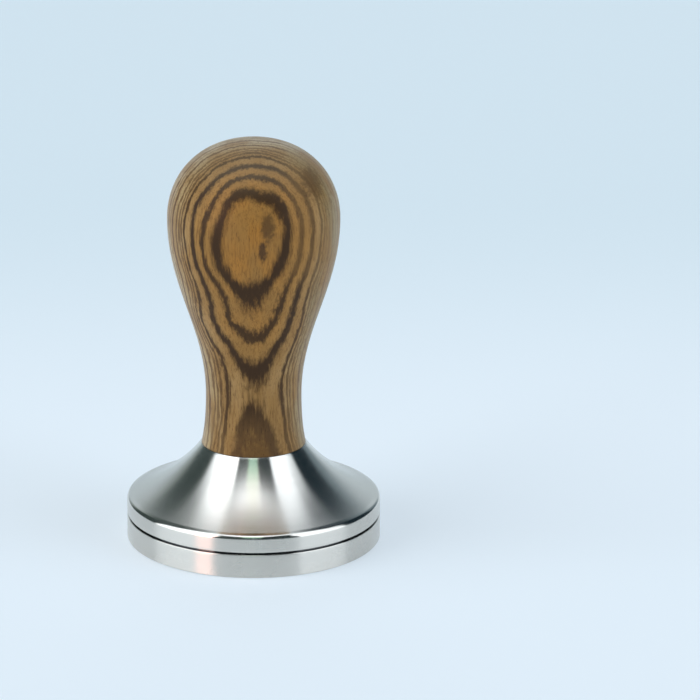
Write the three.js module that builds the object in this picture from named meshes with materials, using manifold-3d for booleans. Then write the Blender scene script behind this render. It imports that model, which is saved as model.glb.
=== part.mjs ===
// Espresso tamper: a turned stainless base and a hardwood handle that screws onto it.
// Millimetres, +Z up. The origin is the centre of the flat tamping face, and +Z is the turning axis.

import * as THREE from 'three';
import { mergeVertices } from 'three/addons/utils/BufferGeometryUtils.js';
import Module from 'manifold-3d';

// ---- driving dimensions ----

const BASE_RADIUS = 29;           // fits a standard 58 mm filter basket
const TOTAL_HEIGHT = 93.8;
const EDGE_CHAMFER = 0.2;         // all round the tamping face

// rim of the base
const RIM_HEIGHT = 10.1;          // tamping face to the foot of the flare
const RIM_FILLET = 1.1;
const GROOVE_HEIGHT = 5.4;        // lower edge of the turned line
const GROOVE_WIDTH = 0.6;
const GROOVE_DEPTH = 0.7;

// flare and neck of the base
const JOINT_HEIGHT = 22.5;        // where the wood meets the steel
const NECK_RADIUS = 12.05;
const NECK_CHAMFER = 0.15;
const FLARE_TOP_ANGLE = 54.5;     // degrees below the horizontal, at the neck
const FLARE_FOOT_ANGLE = 21.7;    // degrees below the horizontal, at the rim

// wooden handle: foot, waist, bulb
const FOOT_RADIUS = 11.85;
const FOOT_CHAMFER = 0.1;
const FOOT_TAPER = 0.65;          // how much the foot draws in over its first third
const WAIST_RADIUS = 10.9;
const WAIST_HEIGHT = 34;
const BULB_RADIUS = 19.55;
const BULB_HEIGHT = 75.9;
const SWELL = 0.39;               // length of the curve handles, as a share of each curve's height
const SHOULDER = 0.5;
const CROWN_REACH = 0.68;         // how flat the crown is, as a share of the bulb's radius
const JOINT_GAP = 0.05;           // hairline between wood and steel

// M8 stud, thread-locked in the base
const THREAD_RADIUS = 4;
const STUD_LENGTH = 30;
const STUD_BOTTOM = 9;
const STUD_CHAMFER = 0.6;
const SOCKET_ACROSS_FLATS = 4;
const SOCKET_DEPTH = 4.5;

// holes
const THREAD_CLEARANCE = 0.15;    // plain bores stand for tapped holes
const MOUTH_CHAMFER = 0.5;
const DRILL_POINT_ANGLE = 118;    // full angle at the end of a blind hole
const BASE_HOLE_DEPTH = 14.5;

// brass insert, glued in the handle
const INSERT_RADIUS = 6;
const INSERT_LENGTH = 16;
const INSERT_RECESS = 0.4;        // how far its face sits above the wood's foot
const INSERT_BARBS = 6;
const BARB_DEPTH = 0.45;
const GLUE_GAP = 0.1;
const HANDLE_HOLE_DEPTH = 17.5;

const ROUND_SEGMENTS = { base: 64, handle: 48, insert: 32, stud: 32 };
const CURVE_STEPS = 8;

const radians = THREE.MathUtils.degToRad;

// ---- materials ----

const stainless = new THREE.MeshStandardMaterial({ color: 0xc4c6c6, roughness: 0.25, metalness: 1 });
const zincSteel = new THREE.MeshStandardMaterial({ color: 0x8e9094, roughness: 0.4, metalness: 1 });
const brass = new THREE.MeshStandardMaterial({ color: 0xc9a24f, roughness: 0.35, metalness: 1 });
const hardwood = new THREE.MeshStandardMaterial({ color: 0x8a5a2e, roughness: 0.5, metalness: 0 });

// ---- shared shapes ----

// Turns a profile of (radius, height) points round +Z. LatheGeometry turns round +Y, so it is tipped up.
function turned(profile, segments) {
  return new THREE.LatheGeometry(profile, segments).rotateX(Math.PI / 2);
}

// Height of the cone that a twist drill leaves at the end of a blind hole.
function drillPoint(radius) {
  return radius / Math.tan(radians(DRILL_POINT_ANGLE / 2));
}

// Merges shared corners by position and hands the closed mesh to the boolean library.
function toSolid(wasm, geometry) {
  const plain = geometry.clone();
  plain.deleteAttribute('normal');
  plain.deleteAttribute('uv');
  const merged = mergeVertices(plain);
  const mesh = new wasm.Mesh({
    numProp: 3,
    vertProperties: new Float32Array(merged.attributes.position.array),
    triVerts: new Uint32Array(merged.index.array),
  });
  return new wasm.Manifold(mesh);
}

function toGeometry(solid) {
  const mesh = solid.getMesh();
  const geometry = new THREE.BufferGeometry();
  geometry.setAttribute('position', new THREE.BufferAttribute(mesh.vertProperties, 3));
  geometry.setIndex(new THREE.BufferAttribute(mesh.triVerts, 1));
  geometry.computeVertexNormals();
  return geometry;
}

// ---- turned base with its flare, groove and blind tapped hole ----

// Where the flare's two end tangents cross: the control point of its curve.
function flareControl(top, foot) {
  const topSlope = Math.tan(radians(FLARE_TOP_ANGLE));
  const footSlope = Math.tan(radians(FLARE_FOOT_ANGLE));
  const radius = (top.y - foot.y + topSlope * top.x - footSlope * foot.x) / (topSlope - footSlope);
  return new THREE.Vector2(radius, top.y - topSlope * (radius - top.x));
}

function baseGeometry() {
  const holeRadius = THREAD_RADIUS + THREAD_CLEARANCE;
  const holeEnd = JOINT_HEIGHT - BASE_HOLE_DEPTH;
  const grooveTop = GROOVE_HEIGHT + GROOVE_WIDTH;
  const filletCentre = new THREE.Vector2(BASE_RADIUS - RIM_FILLET, RIM_HEIGHT - RIM_FILLET);
  const flareFoot = new THREE.Vector2(filletCentre.x, RIM_HEIGHT);
  const flareTop = new THREE.Vector2(NECK_RADIUS, JOINT_HEIGHT - NECK_CHAMFER);
  const control = flareControl(flareTop, flareFoot);

  const outline = new THREE.Path();
  outline.moveTo(0, 0);
  outline.lineTo(BASE_RADIUS - EDGE_CHAMFER, 0);
  outline.lineTo(BASE_RADIUS, EDGE_CHAMFER);
  outline.lineTo(BASE_RADIUS, GROOVE_HEIGHT);
  outline.lineTo(BASE_RADIUS - GROOVE_DEPTH, GROOVE_HEIGHT);
  outline.lineTo(BASE_RADIUS - GROOVE_DEPTH, grooveTop);
  outline.lineTo(BASE_RADIUS, grooveTop);
  outline.lineTo(BASE_RADIUS, filletCentre.y);
  outline.absarc(filletCentre.x, filletCentre.y, RIM_FILLET, 0, Math.PI / 2, false);
  outline.quadraticCurveTo(control.x, control.y, flareTop.x, flareTop.y);
  outline.lineTo(NECK_RADIUS - NECK_CHAMFER, JOINT_HEIGHT);
  outline.lineTo(holeRadius + MOUTH_CHAMFER, JOINT_HEIGHT);
  outline.lineTo(holeRadius, JOINT_HEIGHT - MOUTH_CHAMFER);
  outline.lineTo(holeRadius, holeEnd);
  outline.lineTo(0, holeEnd - drillPoint(holeRadius));
  return turned(outline.getPoints(CURVE_STEPS), ROUND_SEGMENTS.base);
}

// ---- M8 set screw with a hex socket in its upper end ----

function socketGeometry() {
  const cornerRadius = SOCKET_ACROSS_FLATS / Math.sqrt(3);
  const overshoot = 1;
  const socket = new THREE.CylinderGeometry(cornerRadius, cornerRadius, SOCKET_DEPTH + overshoot, 6);
  socket.rotateX(Math.PI / 2);
  socket.translate(0, 0, STUD_LENGTH + (overshoot - SOCKET_DEPTH) / 2);
  return socket;
}

function studGeometry(wasm) {
  const endRadius = THREAD_RADIUS - STUD_CHAMFER;
  const outline = new THREE.Path();
  outline.moveTo(0, 0);
  outline.lineTo(endRadius, 0);
  outline.lineTo(THREAD_RADIUS, STUD_CHAMFER);
  outline.lineTo(THREAD_RADIUS, STUD_LENGTH - STUD_CHAMFER);
  outline.lineTo(endRadius, STUD_LENGTH);
  outline.lineTo(0, STUD_LENGTH);
  const rod = toSolid(wasm, turned(outline.getPoints(), ROUND_SEGMENTS.stud));
  return toGeometry(rod.subtract(toSolid(wasm, socketGeometry())));
}

// ---- brass insert: a sleeve with ring barbs that hold it in the glue ----

function insertGeometry() {
  const boreRadius = THREAD_RADIUS + THREAD_CLEARANCE;
  const barbPitch = INSERT_LENGTH / INSERT_BARBS;
  const outline = new THREE.Path();
  outline.moveTo(boreRadius, MOUTH_CHAMFER);
  outline.lineTo(boreRadius + MOUTH_CHAMFER, 0);
  for (let barb = 0; barb < INSERT_BARBS; barb += 1) {
    const foot = barb * barbPitch;
    outline.lineTo(INSERT_RADIUS, foot);
    outline.lineTo(INSERT_RADIUS, foot + barbPitch / 4);
    outline.lineTo(INSERT_RADIUS - BARB_DEPTH, foot + barbPitch);
  }
  outline.lineTo(boreRadius + MOUTH_CHAMFER, INSERT_LENGTH);
  outline.lineTo(boreRadius, INSERT_LENGTH - MOUTH_CHAMFER);
  outline.lineTo(boreRadius, MOUTH_CHAMFER);
  return turned(outline.getPoints(), ROUND_SEGMENTS.insert);
}

// ---- wooden handle: a waisted stem that swells into a bulb, bored from below ----

// The outside is three curves: foot to waist, waist to bulb, bulb to crown. They meet upright at the
// waist and the bulb, and the last one ends level on the axis.
function handleGeometry() {
  const waist = WAIST_HEIGHT - JOINT_HEIGHT;
  const bulb = BULB_HEIGHT - JOINT_HEIGHT;
  const crown = TOTAL_HEIGHT - JOINT_HEIGHT - JOINT_GAP;
  const drawnIn = FOOT_RADIUS - FOOT_TAPER;
  const swell = (bulb - waist) * SWELL;
  const shoulder = (crown - bulb) * SHOULDER;
  const crownReach = BULB_RADIUS * CROWN_REACH;
  const holeRadius = INSERT_RADIUS + GLUE_GAP;

  const outline = new THREE.Path();
  outline.moveTo(0, HANDLE_HOLE_DEPTH + drillPoint(holeRadius));
  outline.lineTo(holeRadius, HANDLE_HOLE_DEPTH);
  outline.lineTo(holeRadius, 0);
  outline.lineTo(FOOT_RADIUS - FOOT_CHAMFER, 0);
  outline.lineTo(FOOT_RADIUS, FOOT_CHAMFER);
  outline.bezierCurveTo(drawnIn, waist * 0.3, WAIST_RADIUS, waist * 0.6, WAIST_RADIUS, waist);
  outline.bezierCurveTo(WAIST_RADIUS, waist + swell, BULB_RADIUS, bulb - swell, BULB_RADIUS, bulb);
  outline.bezierCurveTo(BULB_RADIUS, bulb + shoulder, crownReach, crown, 0, crown);
  return turned(outline.getPoints(CURVE_STEPS), ROUND_SEGMENTS.handle);
}

// ---- assembly ----

function piece(name, geometry, material, height) {
  const mesh = new THREE.Mesh(geometry, material);
  mesh.name = name;
  mesh.position.z = height;
  return mesh;
}

const wasm = await Module();
wasm.setup();

const handleFoot = JOINT_HEIGHT + JOINT_GAP;
const tamper = new THREE.Group();
tamper.add(piece('tamper_base', baseGeometry(), stainless, 0));
tamper.add(piece('stud', studGeometry(wasm), zincSteel, STUD_BOTTOM));
tamper.add(piece('threaded_insert', insertGeometry(), brass, handleFoot + INSERT_RECESS));
tamper.add(piece('handle', handleGeometry(), hardwood, handleFoot));

export default tamper;
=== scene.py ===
"""Espresso tamper: a turned stainless base and a striped hardwood handle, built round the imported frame.

+Z is up, and the origin is at the centre of the tamping face. The tamper's sizes are in millimetres, and
MM turns them into metres. The floor's and the camera's are in metres.
"""

import math

import bpy
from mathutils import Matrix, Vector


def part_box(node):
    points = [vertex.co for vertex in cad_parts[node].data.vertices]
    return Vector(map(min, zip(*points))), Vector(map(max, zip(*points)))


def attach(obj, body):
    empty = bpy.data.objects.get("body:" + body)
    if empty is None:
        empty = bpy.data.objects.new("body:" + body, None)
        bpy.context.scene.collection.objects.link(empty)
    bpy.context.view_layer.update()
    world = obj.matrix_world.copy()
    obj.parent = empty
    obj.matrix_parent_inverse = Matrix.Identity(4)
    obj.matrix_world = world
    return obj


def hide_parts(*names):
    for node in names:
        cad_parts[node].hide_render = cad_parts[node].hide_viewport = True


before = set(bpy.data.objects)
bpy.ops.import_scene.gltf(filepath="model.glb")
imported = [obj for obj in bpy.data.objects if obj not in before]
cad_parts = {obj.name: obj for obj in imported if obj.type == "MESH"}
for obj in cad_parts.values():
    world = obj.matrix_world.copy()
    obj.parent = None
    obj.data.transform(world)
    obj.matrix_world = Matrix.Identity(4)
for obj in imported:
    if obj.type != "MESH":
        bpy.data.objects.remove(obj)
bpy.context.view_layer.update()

MM = 0.001

# ---- places from the frame, in millimetres ----

_, BASE_HIGH = (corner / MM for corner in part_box("tamper_base"))
HANDLE_LOW, HANDLE_HIGH = (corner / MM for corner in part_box("handle"))
STUD_LOW, STUD_HIGH = (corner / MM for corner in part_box("stud"))
INSERT_LOW, INSERT_HIGH = (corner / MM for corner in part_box("threaded_insert"))

BASE_RADIUS = BASE_HIGH.x
JOINT = BASE_HIGH.z
FOOT = HANDLE_LOW.z
CROWN = HANDLE_HIGH.z
BULB_RADIUS = HANDLE_HIGH.x
THREAD_MAJOR = STUD_HIGH.x
INSERT_RADIUS = INSERT_HIGH.x

# ---- driving dimensions that the frame's boxes don't hold, in millimetres ----

RIM_HEIGHT = 10.1
RIM_FILLET = 1.1
EDGE_CHAMFER = 0.1
GROOVE_LOW = 5.4
GROOVE_WIDTH = 0.52
GROOVE_DEPTH = 0.9
GROOVE_LIP = 0.16         # radius of the groove's rounded edges
NECK_RADIUS = 12.05
NECK_CHAMFER = 0.15
FLARE_TOP_SLOPE = math.radians(54.5)      # from level, at the neck
FLARE_FOOT_SLOPE = math.radians(21.7)     # from level, where the flare meets the rim's fillet

FOOT_RADIUS = 11.85
FOOT_CHAMFER = 0.12
FOOT_TAPER = 0.65         # how far the foot's curve leans in above the joint
FOOT_CURVE = (0.3, 0.6)   # where its two inner controls are, as shares of the way up to the waist
WAIST_RADIUS = 10.9
WAIST_HEIGHT = 34.0
BULB_HEIGHT = 75.9
SWELL = 0.39              # how long waist and bulb stay upright, as a share of the way between them
SHOULDER = 0.5            # how long the bulb stays upright above that, as a share of the rest
CROWN_REACH = 0.68        # how far out the crown stays level, as a share of the bulb's radius

THREAD_PITCH = 1.25
THREAD_DEPTH = 0.72
THREAD_GAP = 0.08         # between an inner and an outer thread
CREST_HALF = 1 / 16       # half a crest's width, in pitches
FLANK_SPAN = 5 / 16       # a flank's width, in pitches
STUD_CHAMFER = 0.6
SOCKET_ACROSS_FLATS = 4.0
SOCKET_DEPTH = 4.5
SOCKET_OVERCUT = 1.0      # how far its cutter reaches past the stud's end
BORE_RADIUS = 4.15
MOUTH_CHAMFER = 0.5
BASE_HOLE_DEPTH = 14.5
HANDLE_HOLE_DEPTH = 17.5
INSERT_BARBS = 6
BARB_DEPTH = 0.45
BARB_EDGE = 0.06
BARB_FLAT = 1 / 4         # straight part of a barb, as a share of its length
GLUE_GAP = 0.1
DRILL_HALF_ANGLE = math.radians(59)

FINE_SEGMENTS = 256
HANDLE_SEGMENTS = 192
THREAD_SEGMENTS = 48
ROWS_PER_PITCH = 16


# ---- outlines ----


def line(start, end, steps):
    """Points from start to end, without the last one."""
    return [
        (start[0] + (end[0] - start[0]) * i / steps, start[1] + (end[1] - start[1]) * i / steps)
        for i in range(steps)
    ]


def bezier(controls, steps):
    """Points on a Bezier curve of any degree, without the last one."""
    points = []
    for i in range(steps):
        level, t = list(controls), i / steps
        while len(level) > 1:
            level = [
                ((1 - t) * a[0] + t * b[0], (1 - t) * a[1] + t * b[1])
                for a, b in zip(level, level[1:])
            ]
        points.append(level[0])
    return points


def arc(centre, radius, start, end, steps):
    """Points round a centre from one angle to another, in degrees, without the last one."""
    angles = [math.radians(start + (end - start) * i / steps) for i in range(steps)]
    return [(centre[0] + radius * math.cos(a), centre[1] + radius * math.sin(a)) for a in angles]


def thread_radius(angle, height, gap=0.0):
    """Radius of a right-hand 60 degree thread with flat crests and roots, at one place on it."""
    phase = (height / THREAD_PITCH - angle / math.tau) % 1.0
    flank = min(max((abs(phase - 0.5) - CREST_HALF) / FLANK_SPAN, 0.0), 1.0)
    return THREAD_MAJOR - THREAD_DEPTH * flank + gap


def tapped(angle, height):
    """Radius of the inner thread that the stud runs in."""
    return thread_radius(angle, height, THREAD_GAP)


def thread_rows(radius, low, high):
    """Profile points up or down a threaded wall. Their radius is a function of angle and height."""
    steps = max(2, round(abs(high - low) / THREAD_PITCH * ROWS_PER_PITCH))
    return [(radius, low + (high - low) * i / steps) for i in range(steps + 1)]


# ---- mesh building ----


def turned(name, profile, segments, material, smooth_angle=30):
    """A closed solid of revolution from a profile of (radius, height) in millimetres.

    A profile that starts and ends on the axis closes there. Any other one closes on itself.
    """
    on_axis = [not callable(radius) and radius == 0 for radius, _ in profile]
    vertices, rows = [], []
    for (radius, height), centre in zip(profile, on_axis):
        count = 1 if centre else segments
        rows.append([len(vertices) + i for i in range(count)])
        for i in range(count):
            angle = math.tau * i / segments
            r = radius(angle, height) if callable(radius) else radius
            vertices.append((r * math.cos(angle) * MM, r * math.sin(angle) * MM, height * MM))
    pairs = list(zip(rows, rows[1:]))
    if not on_axis[0]:
        pairs.append((rows[-1], rows[0]))
    faces = []
    for low, high in pairs:
        for i in range(segments):
            j = (i + 1) % segments
            ring = [low[i % len(low)], low[j % len(low)], high[j % len(high)], high[i % len(high)]]
            faces.append(list(dict.fromkeys(ring)))
    return solid(name, vertices, faces, material, smooth_angle)


def solid(name, vertices, faces, material, smooth_angle):
    """A mesh piece whose edges sharper than an angle, in degrees, stay sharp."""
    mesh = bpy.data.meshes.new(name)
    mesh.from_pydata(vertices, [], faces)
    mesh.validate()
    mesh.materials.append(material)
    mesh.shade_smooth()
    mesh.set_sharp_from_angle(angle=math.radians(smooth_angle))
    piece = bpy.data.objects.new(name, mesh)
    bpy.context.scene.collection.objects.link(piece)
    return piece


def cut(piece, cutter):
    """Cuts one closed mesh out of another for good, and removes the cutter."""
    modifier = piece.modifiers.new("cut", "BOOLEAN")
    modifier.operation, modifier.solver, modifier.object = "DIFFERENCE", "EXACT", cutter
    bpy.context.view_layer.update()
    depsgraph = bpy.context.evaluated_depsgraph_get()
    result = bpy.data.meshes.new_from_object(piece.evaluated_get(depsgraph))
    piece.modifiers.clear()
    piece.data = result
    bpy.data.objects.remove(cutter)


def place(piece, node, body, slot):
    """Stands a finished piece in for its CAD node."""
    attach(piece, body)
    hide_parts(node)


# ---- node helper ----


class Nodes:
    """Short forms for building a node tree. An input may be a value or another node's socket."""

    def __init__(self, tree):
        self.tree = tree
        tree.nodes.clear()

    def add(self, kind, inputs=None, **settings):
        node = self.tree.nodes.new(kind)
        for key, value in settings.items():
            setattr(node, key, value)
        for key, value in (inputs or {}).items():
            if isinstance(value, bpy.types.NodeSocket):
                self.tree.links.new(value, node.inputs[key])
            else:
                node.inputs[key].default_value = value
        return node

    def math(self, operation, *values):
        node = self.add("ShaderNodeMath", dict(enumerate(values)), operation=operation)
        return node.outputs[0]

    def vector(self, operation, *values):
        node = self.add("ShaderNodeVectorMath", dict(enumerate(values)), operation=operation)
        return node.outputs["Value" if operation == "LENGTH" else "Vector"]

    def scaled(self, vector, scale):
        return self.vector("MULTIPLY", vector, scale)

    def smooth(self, value, low, high, start=0.0, end=1.0):
        """Rises smoothly from start at low to end at high."""
        settings = {"Value": value, "From Min": low, "From Max": high, "To Min": start, "To Max": end}
        node = self.add("ShaderNodeMapRange", settings, interpolation_type="SMOOTHSTEP")
        return node.outputs["Result"]

    def noise(self, vector, scale=1.0, detail=2.0, roughness=0.5):
        settings = {"Vector": vector, "Scale": scale, "Detail": detail, "Roughness": roughness}
        return self.add("ShaderNodeTexNoise", settings).outputs["Fac"]

    def mix(self, amount, first, second):
        """A colour between two, by an amount from 0 to 1."""
        node = self.add("ShaderNodeMix", data_type="RGBA")
        names = {"Factor_Float": amount, "A_Color": first, "B_Color": second}
        for socket in node.inputs:
            if socket.identifier in names:
                value = names[socket.identifier]
                if isinstance(value, bpy.types.NodeSocket):
                    self.tree.links.new(value, socket)
                else:
                    socket.default_value = value
        return next(s for s in node.outputs if s.identifier == "Result_Color")

    def ramp(self, value, stops):
        """A colour ramp through stops of (position, colour), in rising order from 0 to 1."""
        node = self.add("ShaderNodeValToRGB", {"Fac": value})
        elements = node.color_ramp.elements
        for position, _ in stops[1:-1]:
            elements.new(position)
        for element, (position, colour) in zip(elements, stops):
            element.position, element.color = position, colour
        return node.outputs["Color"]


def material(name):
    """A new material, with its node helper and its shader."""
    made = bpy.data.materials.new(name)
    made.use_nodes = True
    nodes = Nodes(made.node_tree)
    shader = nodes.add("ShaderNodeBsdfPrincipled")
    output = nodes.add("ShaderNodeOutputMaterial", {"Surface": shader.outputs["BSDF"]})
    output.is_active_output = True
    return made, nodes, shader


def plug(nodes, shader, **values):
    """Sets or links the shader's sockets. Underscores in a name stand for spaces."""
    for key, value in values.items():
        socket = shader.inputs[key.replace("_", " ")]
        if isinstance(value, bpy.types.NodeSocket):
            nodes.tree.links.new(value, socket)
        else:
            socket.default_value = value


def position_mm(nodes):
    place_in_part = nodes.add("ShaderNodeTexCoord").outputs["Object"]
    return nodes.scaled(place_in_part, (1 / MM,) * 3)


# ---- stainless steel: fine turned, so that reflections smear across the turning marks ----

STEEL_TINTS = ((0.715, 0.682, 0.625, 1.0), (0.755, 0.722, 0.665, 1.0))
RING_TINT = (0.62, 0.59, 0.54, 1.0)     # of the turning rings on the tamping face
# painted shade for the steel inside the rim's groove
GROOVE_SHADE = (0.19, 0.195, 0.20, 1.0)
POLISHED = 0.10                  # roughness where nothing is added to it
WALL_FINISH = 0.13               # added on the rim's wall
FLARE_FINISH = (0.05, 0.10)      # added on the flare, at the neck and at the rim
RING_FINISH = 0.10               # added on the rings of the tamping face
MARK_FINISH = 0.03               # added by the turning marks
HAZE_FINISH = 0.05               # added by faint clouds
MARK_HEIGHT = 0.001              # of the turning marks' bump
MARK_STRENGTH = 0.1


def groove_shade_mask(nodes, radius, height):
    """1 inside the rim's groove, where shade is painted onto the steel."""
    middle = GROOVE_LOW + GROOVE_WIDTH / 2
    away = nodes.math("ABSOLUTE", nodes.math("SUBTRACT", height, middle))
    level = nodes.smooth(away, GROOVE_WIDTH * 0.6, GROOVE_WIDTH * 0.8, 1.0, 0.0)
    behind_wall = nodes.smooth(radius, BASE_RADIUS - 0.35, BASE_RADIUS - 0.12, 1.0, 0.0)
    return nodes.math("MULTIPLY", level, behind_wall)


def turned_steel():
    made, nodes, shader = material("turned_stainless")
    place_mm = position_mm(nodes)
    height = nodes.add("ShaderNodeSeparateXYZ", {"Vector": place_mm}).outputs["Z"]
    radius = nodes.vector("LENGTH", nodes.scaled(place_mm, (1.0, 1.0, 0.0)))
    across = nodes.add("ShaderNodeCombineXYZ", {"X": radius, "Y": height}).outputs["Vector"]
    marks = nodes.noise(across, scale=7.0, detail=3.0, roughness=0.7)
    bands = nodes.noise(across, scale=0.8, detail=2.0)
    haze = nodes.noise(place_mm, scale=0.12, detail=2.0)
    wide_marks = nodes.smooth(nodes.noise(across, scale=1.6, detail=4.0), 0.35, 0.65)

    fillet_start = BASE_RADIUS - RIM_FILLET
    on_flare = nodes.smooth(radius, fillet_start - 0.5, fillet_start, 1.0, 0.0)
    on_wall = nodes.smooth(radius, BASE_RADIUS - 0.03, BASE_RADIUS - 0.01)
    on_face = nodes.smooth(height, 0.02, 0.05, 1.0, 0.0)
    rings = nodes.math("MULTIPLY", wide_marks, on_face)

    flare_finish = nodes.smooth(radius, NECK_RADIUS, BASE_RADIUS, *FLARE_FINISH)
    flared = nodes.math("MULTIPLY", on_flare, flare_finish)
    brushed = nodes.math("MULTIPLY_ADD", on_wall, WALL_FINISH, flared)
    hazy = nodes.math("MULTIPLY_ADD", marks, MARK_FINISH, nodes.math("MULTIPLY", haze, HAZE_FINISH))
    roughness = nodes.math("ADD", nodes.math("ADD", brushed, POLISHED), hazy)
    roughness = nodes.math("MULTIPLY_ADD", rings, RING_FINISH, roughness)

    tint = nodes.mix(bands, *STEEL_TINTS)
    tint = nodes.mix(rings, tint, RING_TINT)
    # painted shade: the steel darkens inside the rim's groove
    tint = nodes.mix(groove_shade_mask(nodes, radius, height), tint, GROOVE_SHADE)
    tangent = nodes.add("ShaderNodeTangent", direction_type="RADIAL", axis="Z").outputs["Tangent"]
    bump = nodes.add(
        "ShaderNodeBump", {"Strength": MARK_STRENGTH, "Distance": MARK_HEIGHT * MM, "Height": marks}
    )
    plug(
        nodes,
        shader,
        Base_Color=tint,
        Metallic=1.0,
        Roughness=roughness,
        Anisotropic=1.0,
        Anisotropic_Rotation=0.25,
        Tangent=tangent,
        Normal=bump.outputs["Normal"],
    )
    return made


def cloudy_metal(name, cloud_scale, tints, smoothest, cloud_finish):
    """A metal whose tint and roughness drift together."""
    made, nodes, shader = material(name)
    cloud = nodes.noise(position_mm(nodes), scale=cloud_scale, detail=3.0)
    tint = nodes.mix(cloud, *tints)
    roughness = nodes.math("MULTIPLY_ADD", cloud, cloud_finish, smoothest)
    plug(nodes, shader, Base_Color=tint, Metallic=1.0, Roughness=roughness)
    return made


def zinc_steel():
    tints = ((0.46, 0.47, 0.49, 1.0), (0.58, 0.59, 0.60, 1.0))
    return cloudy_metal("zinc_plated_steel", 0.7, tints, smoothest=0.26, cloud_finish=0.16)


def machined_brass():
    tints = ((0.68, 0.47, 0.19, 1.0), (0.78, 0.58, 0.28, 1.0))
    return cloudy_metal("machined_brass", 0.5, tints, smoothest=0.24, cloud_finish=0.14)


# ---- striped hardwood: growth layers round a pith line in front of the handle ----

PITH_DISTANCE = 57.2                   # in front of the turning axis
PITH_OFFSET = (-1.22, -1.21, 3.94)     # sideways: constant, tilt and bow along the grain
LAYER_DRIFT = (-0.79, 1.80, 0.73)      # in depth: tilt, bow and second bow along the grain
GRAIN_MIDDLE = 58.0                    # the height that tilt and bow are measured from
GRAIN_REACH = 36.0                     # the length that they are measured over
WANDER = 2.4                           # how far the layers wander in depth
RAGGEDNESS = 1.5                       # how far their edges fray in depth
PORE_DEPTH = 0.03                      # of the bump
GRAIN_STRENGTH = 0.35                  # of the bump

# Where the layers dip or rise a little: height, reach along the grain, and shift in depth.
LAYER_BENDS = (
    (63.3, 7.5, -0.92),
    (52.5, 7.5, 0.62),
)

# Dark lines in the layers: depth in front of the turning axis, half width, and darkness.
DARK_LINES = (
    (1.3, 0.6, 0.90),
    (2.9, 0.4, 0.55),
    (4.5, 0.65, 0.95),
    (6.5, 0.5, 0.80),
    (7.6, 0.4, 0.75),
    (8.5, 0.5, 0.85),
    (9.7, 0.65, 0.98),
    (12.3, 1.0, 1.00),
    (14.8, 0.8, 0.95),
    (17.1, 1.15, 1.00),
    (20.6, 1.1, 0.45),
    (-19.2, 0.8, 0.75),
    (-16.9, 0.5, 0.40),
    (-14.6, 0.9, 0.95),
    (-12.6, 0.4, 0.45),
    (-10.1, 0.8, 0.80),
    (-8.0, 0.4, 0.38),
    (-5.6, 0.7, 0.70),
    (-3.4, 0.4, 0.35),
    (-1.2, 0.6, 0.50),
)

# The wood between the lines: depth as a share of GROUND_REACH, and colour. Its palest colour, near depth
# 0 on the handle's sides and crown, is partly the wood's own tone and partly painted sheen.
GROUND_REACH = 20.0
GROUND = (
    (0.0, (0.69, 0.575, 0.405, 1.0)),
    (0.3, (0.50, 0.35, 0.175, 1.0)),
    (0.55, (0.45, 0.26, 0.10, 1.0)),
    (0.68, (0.44, 0.22, 0.06, 1.0)),
    (1.0, (0.46, 0.195, 0.036, 1.0)),
)
OLIVE = (0.23, 0.175, 0.08, 1.0)
GOLDEN = (0.35, 0.18, 0.052, 1.0)
STREAK = (0.16, 0.076, 0.025, 1.0)
INNER_LINE = (0.056, 0.027, 0.011, 1.0)
OUTER_LINE = (0.132, 0.064, 0.024, 1.0)
SPOT_BROWN = (0.122, 0.062, 0.024, 1.0)
KNOT = (0.06, 0.032, 0.018, 1.0)
# partly end grain, partly painted sheen on the crown
END_GRAIN_AND_SHEEN = (0.25, 0.19, 0.12, 1.0)
PORE = (0.045, 0.022, 0.012, 1.0)

# Dark spots: centre, size, strength and colour.
SPOTS = (
    ((3.2, -19.0, 79.4), (2.3, 3.0, 4.6), 0.85, SPOT_BROWN),      # inside the innermost oval, above the knot
    # darker brown towards the foot's front
    ((1.0, -12.0, 21.0), (8.0, 8.0, 13.0), 0.77, SPOT_BROWN),     # at the foot
    ((13.2, -9.5, 88.0), (4.0, 6.0, 6.5), 0.75, SPOT_BROWN),      # on the right shoulder
    ((2.0, -19.4, 73.8), (1.3, 2.2, 3.4), 0.85, KNOT),       # the small knot
)


def cubic(nodes, value, constant, factors):
    """constant + factors[0]*value + factors[1]*value^2 + ..."""
    total = 0.0
    for factor in reversed(factors):
        total = nodes.math("MULTIPLY", nodes.math("ADD", total, factor), value)
    return nodes.math("ADD", total, constant)


def layer_depth(nodes, place_mm):
    """How far in front of the turning axis the growth layer at this place lies."""
    split = nodes.add("ShaderNodeSeparateXYZ", {"Vector": place_mm}).outputs
    along = nodes.math("DIVIDE", nodes.math("SUBTRACT", split["Z"], GRAIN_MIDDLE), GRAIN_REACH)
    pith_x = cubic(nodes, along, PITH_OFFSET[0], PITH_OFFSET[1:])
    drift = cubic(nodes, along, 0.0, LAYER_DRIFT)
    sideways = nodes.math("SUBTRACT", split["X"], pith_x)
    outward = nodes.math("ADD", split["Y"], PITH_DISTANCE)
    from_pith = nodes.vector(
        "LENGTH", nodes.add("ShaderNodeCombineXYZ", {"X": sideways, "Y": outward}).outputs["Vector"]
    )
    depth = nodes.math("SUBTRACT", nodes.math("ADD", drift, PITH_DISTANCE), from_pith)
    for height, reach, shift in LAYER_BENDS:
        away = nodes.math("ABSOLUTE", nodes.math("SUBTRACT", split["Z"], height))
        depth = nodes.math("ADD", depth, nodes.smooth(away, 0.0, reach, shift, 0.0))
    wander = nodes.noise(nodes.scaled(place_mm, (0.13, 0.13, 0.07)), detail=2.0)
    ragged = nodes.noise(nodes.scaled(place_mm, (1.5, 1.5, 0.25)), detail=4.0, roughness=0.65)
    depth = nodes.math("MULTIPLY_ADD", nodes.math("SUBTRACT", wander, 0.5), WANDER, depth)
    return nodes.math("MULTIPLY_ADD", nodes.math("SUBTRACT", ragged, 0.5), RAGGEDNESS, depth)


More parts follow.
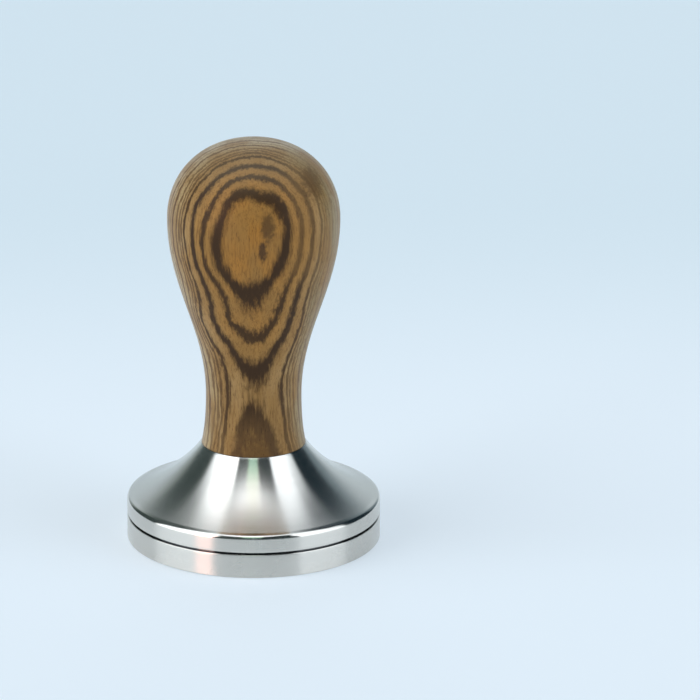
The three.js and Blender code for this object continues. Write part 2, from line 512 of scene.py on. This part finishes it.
def line_mask(nodes, depth):
    """How dark the wood is at a layer depth: the darkness of the nearest line, 0 between lines."""
    mask = 0.0
    for centre, half_width, darkness in DARK_LINES:
        away = nodes.math("ABSOLUTE", nodes.math("SUBTRACT", depth, centre))
        near = nodes.smooth(away, half_width * 0.2, half_width, darkness, 0.0)
        mask = nodes.math("MAXIMUM", mask, near)
    return mask


def weaker(nodes, mask, where, share):
    """A mask that loses a share of itself where another mask is 1."""
    return nodes.math("MULTIPLY", mask, nodes.math("MULTIPLY_ADD", where, -share, 1.0))


def dark_lines(nodes, split, depth, olive):
    """The lines, weaker where the wood is olive, on the bulb's right side and towards the foot."""
    lines = weaker(nodes, line_mask(nodes, depth), olive, 0.45)
    to_right = nodes.smooth(split["X"], 4.0, 10.0)
    on_bulb = nodes.smooth(split["Z"], 62.0, 70.0)
    outside_oval = nodes.smooth(depth, 15.2, 16.2, 1.0, 0.0)
    faint = nodes.math("MULTIPLY", nodes.math("MULTIPLY", to_right, on_bulb), outside_oval)
    lines = weaker(nodes, lines, faint, 0.35)
    return nodes.math("MULTIPLY", lines, nodes.smooth(split["Z"], 24.0, 36.0, 0.72, 1.0))


def spot(nodes, place_mm, centre, size):
    """1 at the centre of an ellipsoid, falling smoothly to 0 at its rough edge."""
    away = nodes.vector("DIVIDE", nodes.vector("SUBTRACT", place_mm, centre), size)
    rough = nodes.noise(place_mm, scale=1.1, detail=3.0)
    reach = nodes.math("ADD", nodes.math("SUBTRACT", rough, 0.5), nodes.vector("LENGTH", away))
    return nodes.smooth(reach, 0.35, 1.0, 1.0, 0.0)


def wood_colour(nodes, place_mm, fibre, pores):
    split = nodes.add("ShaderNodeSeparateXYZ", {"Vector": place_mm}).outputs
    depth = layer_depth(nodes, place_mm)
    outer = nodes.smooth(depth, 7.0, 11.0, 1.0, 0.0)
    to_right = nodes.smooth(split["X"], 5.0, 14.0)
    in_front = nodes.smooth(split["Y"], -4.0, 9.0, 1.0, 0.0)
    olive = nodes.math("MULTIPLY", nodes.math("MULTIPLY", to_right, in_front), outer)

    # pale near depth 0, on the handle's sides and crown: partly painted sheen
    from_axis = nodes.math("DIVIDE", nodes.math("ABSOLUTE", depth), GROUND_REACH)
    colour = nodes.mix(nodes.math("MULTIPLY", olive, 0.6), nodes.ramp(from_axis, GROUND), OLIVE)
    figure = nodes.noise(nodes.scaled(place_mm, (0.22, 0.22, 0.08)), detail=3.0)
    colour = nodes.mix(nodes.smooth(figure, 0.35, 0.65, 0.1, 0.75), colour, GOLDEN)
    colour = nodes.mix(nodes.smooth(fibre, 0.45, 0.72, 0.0, 0.6), colour, STREAK)

    lines = dark_lines(nodes, split, depth, olive)
    broken = nodes.math("MULTIPLY", lines, nodes.smooth(fibre, 0.25, 0.5, 0.93, 1.0))
    colour = nodes.mix(broken, colour, nodes.mix(outer, INNER_LINE, OUTER_LINE))
    for centre, size, strength, shade in SPOTS:
        amount = nodes.math("MULTIPLY", spot(nodes, place_mm, centre, size), strength)
        colour = nodes.mix(amount, colour, shade)

    # Faces turned up or down turn paler: partly end grain, partly painted sheen where the crown would
    # catch the sky.
    facing = nodes.add("ShaderNodeTexCoord").outputs["Normal"]
    upward = nodes.math("ABSOLUTE", nodes.add("ShaderNodeSeparateXYZ", {"Vector": facing}).outputs["Z"])
    colour = nodes.mix(nodes.smooth(upward, 0.4, 0.95, 0.0, 0.3), colour, END_GRAIN_AND_SHEEN)
    return nodes.mix(nodes.math("MULTIPLY", pores, 0.5), colour, PORE)


def striped_wood():
    made, nodes, shader = material("striped_hardwood")
    place_mm = position_mm(nodes)
    fibre = nodes.noise(nodes.scaled(place_mm, (2.4, 2.4, 0.2)), detail=4.0, roughness=0.65)
    pores = nodes.smooth(nodes.noise(nodes.scaled(place_mm, (6.0, 6.0, 0.5)), detail=1.0), 0.63, 0.71)
    height = nodes.math("SUBTRACT", nodes.math("MULTIPLY", fibre, 0.25), pores)
    bump = nodes.add(
        "ShaderNodeBump", {"Strength": GRAIN_STRENGTH, "Distance": PORE_DEPTH * MM, "Height": height}
    )
    plug(
        nodes,
        shader,
        Base_Color=wood_colour(nodes, place_mm, fibre, pores),
        Roughness=nodes.math("MULTIPLY_ADD", fibre, 0.16, 0.30),
        Specular_IOR_Level=0.14,
        Sheen_Weight=0.06,
        Sheen_Roughness=0.3,
        Sheen_Tint=(0.92, 0.96, 1.0, 1.0),
        Normal=bump.outputs["Normal"],
    )
    return made


# ---- the four pieces ----


def flare_control(top, foot):
    """Where the flare's two end tangents cross."""
    top_slope, foot_slope = math.tan(FLARE_TOP_SLOPE), math.tan(FLARE_FOOT_SLOPE)
    radius = (top[1] - foot[1] + top_slope * top[0] - foot_slope * foot[0]) / (top_slope - foot_slope)
    return radius, top[1] - top_slope * (radius - top[0])


def base_piece(steel):
    hole_end = JOINT - BASE_HOLE_DEPTH
    groove_high = GROOVE_LOW + GROOVE_WIDTH
    groove_radius = BASE_RADIUS - GROOVE_DEPTH
    fillet = (BASE_RADIUS - RIM_FILLET, RIM_HEIGHT - RIM_FILLET / math.cos(FLARE_FOOT_SLOPE))
    foot = (
        fillet[0] + RIM_FILLET * math.sin(FLARE_FOOT_SLOPE),
        fillet[1] + RIM_FILLET * math.cos(FLARE_FOOT_SLOPE),
    )
    top = (NECK_RADIUS, JOINT - NECK_CHAMFER)
    lip = BASE_RADIUS - GROOVE_LIP
    profile = line((0, 0), (BASE_RADIUS - EDGE_CHAMFER, 0), 24)
    profile += line((BASE_RADIUS - EDGE_CHAMFER, 0), (BASE_RADIUS, EDGE_CHAMFER), 1)
    profile += line((BASE_RADIUS, EDGE_CHAMFER), (BASE_RADIUS, GROOVE_LOW - GROOVE_LIP), 8)
    profile += arc((lip, GROOVE_LOW - GROOVE_LIP), GROOVE_LIP, 0, 90, 4)
    profile += line((lip, GROOVE_LOW), (groove_radius, GROOVE_LOW), 1)
    profile += line((groove_radius, GROOVE_LOW), (groove_radius, groove_high), 1)
    profile += line((groove_radius, groove_high), (lip, groove_high), 1)
    profile += arc((lip, groove_high + GROOVE_LIP), GROOVE_LIP, -90, 0, 4)
    profile += line((BASE_RADIUS, groove_high + GROOVE_LIP), (BASE_RADIUS, fillet[1]), 5)
    profile += arc(fillet, RIM_FILLET, 0, 90 - math.degrees(FLARE_FOOT_SLOPE), 12)
    profile += bezier([foot, flare_control(top, foot), top], 48)
    profile += line(top, (NECK_RADIUS - NECK_CHAMFER, JOINT), 2)
    profile += line((NECK_RADIUS - NECK_CHAMFER, JOINT), (BORE_RADIUS + MOUTH_CHAMFER, JOINT), 6)
    profile += [(BORE_RADIUS + MOUTH_CHAMFER, JOINT)]
    profile += thread_rows(tapped, JOINT - MOUTH_CHAMFER, hole_end)
    profile += [(0, hole_end - BORE_RADIUS / math.tan(DRILL_HALF_ANGLE))]
    return turned("turned_base", profile, FINE_SEGMENTS, steel)


def stud_piece(steel):
    low, high = STUD_LOW.z, STUD_HIGH.z

    def chamfered(angle, height):
        from_end = min(height - low, high - height)
        return min(thread_radius(angle, height), THREAD_MAJOR - STUD_CHAMFER + from_end)

    profile = [(0, low), *thread_rows(chamfered, low, high), (0, high)]
    stud = turned("threaded_stud", profile, THREAD_SEGMENTS, steel, 40)
    corner = SOCKET_ACROSS_FLATS / math.sqrt(3)
    bottom, above = high - SOCKET_DEPTH, high + SOCKET_OVERCUT
    socket = [(0, bottom), (corner, bottom), (corner, above), (0, above)]
    cut(stud, turned("hex_socket", socket, 6, steel))
    return stud


def insert_piece(brass):
    low, high = INSERT_LOW.z, INSERT_HIGH.z
    pitch = (high - low) / INSERT_BARBS
    profile = [(BORE_RADIUS + MOUTH_CHAMFER, low)]
    root = INSERT_RADIUS - BARB_DEPTH
    for barb in range(INSERT_BARBS):
        foot = low + barb * pitch
        profile += [(INSERT_RADIUS - BARB_EDGE, foot), (INSERT_RADIUS, foot + BARB_EDGE)]
        profile += [(INSERT_RADIUS, foot + pitch * BARB_FLAT), (root, foot + pitch)]
    profile += [(BORE_RADIUS + MOUTH_CHAMFER, high)]
    profile += thread_rows(tapped, high - MOUTH_CHAMFER, low + MOUTH_CHAMFER)
    return turned("brass_insert", profile, THREAD_SEGMENTS, brass)


def handle_piece(wood):
    hole_radius = INSERT_RADIUS + GLUE_GAP
    hole_end = FOOT + HANDLE_HOLE_DEPTH
    waist = WAIST_HEIGHT - JOINT
    swell = (BULB_HEIGHT - WAIST_HEIGHT) * SWELL
    shoulder = (CROWN - BULB_HEIGHT) * SHOULDER
    profile = [(0, hole_end + hole_radius / math.tan(DRILL_HALF_ANGLE))]
    profile += line((hole_radius, hole_end), (hole_radius, FOOT), 12)
    profile += line((hole_radius, FOOT), (FOOT_RADIUS - FOOT_CHAMFER, FOOT), 4)
    profile += arc((FOOT_RADIUS - FOOT_CHAMFER, FOOT + FOOT_CHAMFER), FOOT_CHAMFER, -90, 0, 4)
    profile += bezier(
        [
            (FOOT_RADIUS, FOOT + FOOT_CHAMFER),
            (FOOT_RADIUS - FOOT_TAPER, JOINT + waist * FOOT_CURVE[0]),
            (WAIST_RADIUS, JOINT + waist * FOOT_CURVE[1]),
            (WAIST_RADIUS, WAIST_HEIGHT),
        ],
        24,
    )
    profile += bezier(
        [
            (WAIST_RADIUS, WAIST_HEIGHT),
            (WAIST_RADIUS, WAIST_HEIGHT + swell),
            (BULB_RADIUS, BULB_HEIGHT - swell),
            (BULB_RADIUS, BULB_HEIGHT),
        ],
        56,
    )
    profile += bezier(
        [
            (BULB_RADIUS, BULB_HEIGHT),
            (BULB_RADIUS, BULB_HEIGHT + shoulder),
            (BULB_RADIUS * CROWN_REACH, CROWN),
            (0, CROWN),
        ],
        48,
    )
    profile += [(0, CROWN)]
    return turned("wood_handle", profile, HANDLE_SEGMENTS, wood)


# ---- studio: pale floor, a surround of soft cards, camera ----

FLOOR_NEAR = (0.524, 0.575, 0.622, 1.0)
FLOOR_FAR = (0.447, 0.518, 0.565, 1.0)
FLOOR_FADE = (0.06, 0.27)        # where near turns to far, behind the turning axis, in metres
# painted light: the floor glows, which fills in the shadows round the tamper
FLOOR_GLOW = 0.63
FLOOR_REACH = 6.0
FLOOR_LEVEL = -0.0001


def floor():
    """Pale paper with a painted glow that fills in the shadows round the tamper, see-through from below.
    """
    made, nodes, shader = material("floor_paper")
    place = nodes.add("ShaderNodeTexCoord").outputs["Object"]
    away = nodes.add("ShaderNodeSeparateXYZ", {"Vector": place}).outputs["Y"]
    colour = nodes.mix(nodes.smooth(away, *FLOOR_FADE), FLOOR_NEAR, FLOOR_FAR)
    plug(nodes, shader, Base_Color=colour, Roughness=0.9, Specular_IOR_Level=0.1)
    plug(nodes, shader, Emission_Color=colour, Emission_Strength=FLOOR_GLOW)
    see_through = nodes.add("ShaderNodeBsdfTransparent").outputs["BSDF"]
    below = nodes.add("ShaderNodeNewGeometry").outputs["Backfacing"]
    either = nodes.add("ShaderNodeMixShader", {0: below, 1: shader.outputs["BSDF"], 2: see_through})
    output = next(n for n in nodes.tree.nodes if n.type == "OUTPUT_MATERIAL")
    nodes.tree.links.new(either.outputs["Shader"], output.inputs["Surface"])
    sides = [(-1, -1), (1, -1), (1, 1), (-1, 1)]
    corners = [(x * FLOOR_REACH, y * FLOOR_REACH, FLOOR_LEVEL) for x, y in sides]
    piece = solid("floor", corners, [(0, 1, 2, 3)], made, 30)


SKY_LOW = (0.55, 0.65, 0.72, 1.0)
SKY_HIGH = (1.09, 1.19, 1.30, 1.0)
SKY_FADE = (15.0, 65.0)
MATT_CAP = (1.8, 1.9, 1.95)                  # the brightest that matt surfaces are lit by
BACKDROP = (0.62, 0.76, 0.84, 1.0)

# How much wider a card grows, and the elevations that its sides run apart between.
SPREADS = {
    "lean": (1.25, 20.0, 60.0),
    "fan": (1.8, 46.0, 80.0),
    "wide fan": (2.4, 46.0, 80.0),
}

# Cards, each over the ones before it: shape, sides in azimuth, ends in elevation, colour, and how softly
# the sides and the ends fade. Angles are in degrees.
CARDS = (
    ("upright", (-100, 100), (77, 95), (2.7, 2.9, 3.15), 40, 10),        # top light
    ("lean", (-151, -96), (-5, 61), (0.22, 0.27, 0.27), 18, 10),         # dark behind, on the left
    ("lean", (-140, -95), (-20, 61), (0.050, 0.072, 0.073), 8, 9),
    ("lean", (95, 151), (-5, 61), (0.16, 0.22, 0.26), 18, 10),           # dark behind, on the right
    ("lean", (92, 134), (-20, 61), (0.010, 0.022, 0.032), 8, 9),
    ("fan", (-97, -37), (-40, 72), (1.80, 1.95, 2.10), 4, 18),           # tall light on the left
    ("upright", (-53, -37), (-40, 40), (5.2, 3.35, 3.0), 2, 20),         # its rosy edge
    ("fan", (41, 89), (-40, 70), (1.50, 1.64, 1.80), 4, 18),             # tall light on the right
    ("fan", (-37, 0), (-40, 66), (0.05, 0.07, 0.07), 3, 14),             # dark in front
    ("fan", (0, 41), (-40, 76), (0.03, 0.045, 0.05), 3, 16),
    ("wide fan", (-11, 8), (44, 64), (0.43, 0.77, 0.66), 3, 8),          # narrow streak in front
    ("wide fan", (-11, 8), (62, 68), (1.05, 1.60, 1.10), 3, 6),
    ("wide fan", (-12, 10), (68, 79), (1.50, 1.43, 1.50), 4, 6),
    ("wide fan", (-12, 10), (79, 95), (2.7, 2.85, 2.9), 4, 6),
    ("upright", (-181, 181), (-58, -34), (1.5, 1.55, 1.6), 1, 12),       # ring below the tamper
    ("upright", (-181, 181), (-95, -62), (0.12, 0.13, 0.14), 1, 12),     # dark straight below
)


def surround():
    """A studio that the steel reflects: every card is a patch of the sky by azimuth and elevation.

    Azimuth is 0 towards the camera at rest and grows to the right. Matt surfaces see the cards capped,
    so that bright ones don't bleach the wood and the floor, and the camera sees a plain backdrop.
    """
    world = bpy.data.worlds.new("studio")
    bpy.context.scene.world = world
    world.use_nodes = True
    nodes = Nodes(world.node_tree)
    toward = nodes.add("ShaderNodeTexCoord").outputs["Generated"]
    split = nodes.add("ShaderNodeSeparateXYZ", {"Vector": toward}).outputs
    behind = nodes.math("MULTIPLY", split["Y"], -1.0)
    azimuth = nodes.math("DEGREES", nodes.math("ARCTAN2", split["X"], behind))
    elevation = nodes.math("DEGREES", nodes.math("ARCSINE", split["Z"]))

    def within(value, low, high, soft):
        rise = nodes.smooth(value, low - soft / 2, low + soft / 2)
        fall = nodes.smooth(value, high - soft / 2, high + soft / 2, 1.0, 0.0)
        return nodes.math("MULTIPLY", rise, fall)

    side_angles = {"upright": azimuth}
    for shape, (widening, low, high) in SPREADS.items():
        factor = nodes.smooth(elevation, low, high, 1.0, widening)
        side_angles[shape] = nodes.math("DIVIDE", azimuth, factor)

    sky = nodes.mix(nodes.smooth(elevation, *SKY_FADE), SKY_LOW, SKY_HIGH)
    for shape, sides, ends, colour, soft_sides, soft_ends in CARDS:
        wide = within(side_angles[shape], *sides, soft_sides)
        tall = within(elevation, *ends, soft_ends)
        sky = nodes.mix(nodes.math("MULTIPLY", wide, tall), sky, (*colour, 1.0))

    path = nodes.add("ShaderNodeLightPath").outputs
    studio = nodes.mix(path["Is Glossy Ray"], nodes.vector("MINIMUM", sky, MATT_CAP), sky)
    background = nodes.add("ShaderNodeBackground", {"Color": studio, "Strength": 1.0})
    plain = nodes.add("ShaderNodeBackground", {"Color": BACKDROP, "Strength": 1.0})
    seen = nodes.add(
        "ShaderNodeMixShader",
        {0: path["Is Camera Ray"], 1: background.outputs[0], 2: plain.outputs[0]},
    )
    nodes.add("ShaderNodeOutputWorld", {"Surface": seen.outputs["Shader"]})


CAMERA_ELEVATION = math.radians(18.5)
CAMERA_DISTANCE = 1.2
CAMERA_LENS = 271.5
CAMERA_SENSOR = 36.0
CAMERA_SHIFT = 0.1376     # the tamper stands left of the middle of the frame
CAMERA_CLIP = (0.05, 30.0)
AIM_HEIGHT = 44.34 * MM


def camera():
    data = bpy.data.cameras.new("camera")
    data.sensor_width = CAMERA_SENSOR
    data.lens = CAMERA_LENS
    data.shift_x = CAMERA_SHIFT
    data.clip_start, data.clip_end = CAMERA_CLIP
    seen_from = bpy.data.objects.new("camera", data)
    bpy.context.scene.collection.objects.link(seen_from)
    level, rise = math.cos(CAMERA_ELEVATION), math.sin(CAMERA_ELEVATION)
    seen_from.location = (0.0, -CAMERA_DISTANCE * level, AIM_HEIGHT + CAMERA_DISTANCE * rise)
    seen_from.rotation_euler = (math.pi / 2 - CAMERA_ELEVATION, 0.0, 0.0)
    bpy.context.scene.camera = seen_from


# ---- assembly ----

steel = turned_steel()
place(base_piece(steel), "tamper_base", "base", "stainless")
place(stud_piece(zinc_steel()), "stud", "base", "zinc_steel")
place(insert_piece(machined_brass()), "threaded_insert", "insert", "brass")
place(handle_piece(striped_wood()), "handle", "handle", "hardwood")

floor()
surround()
camera()
bpy.context.scene.view_settings.view_transform = "Standard"
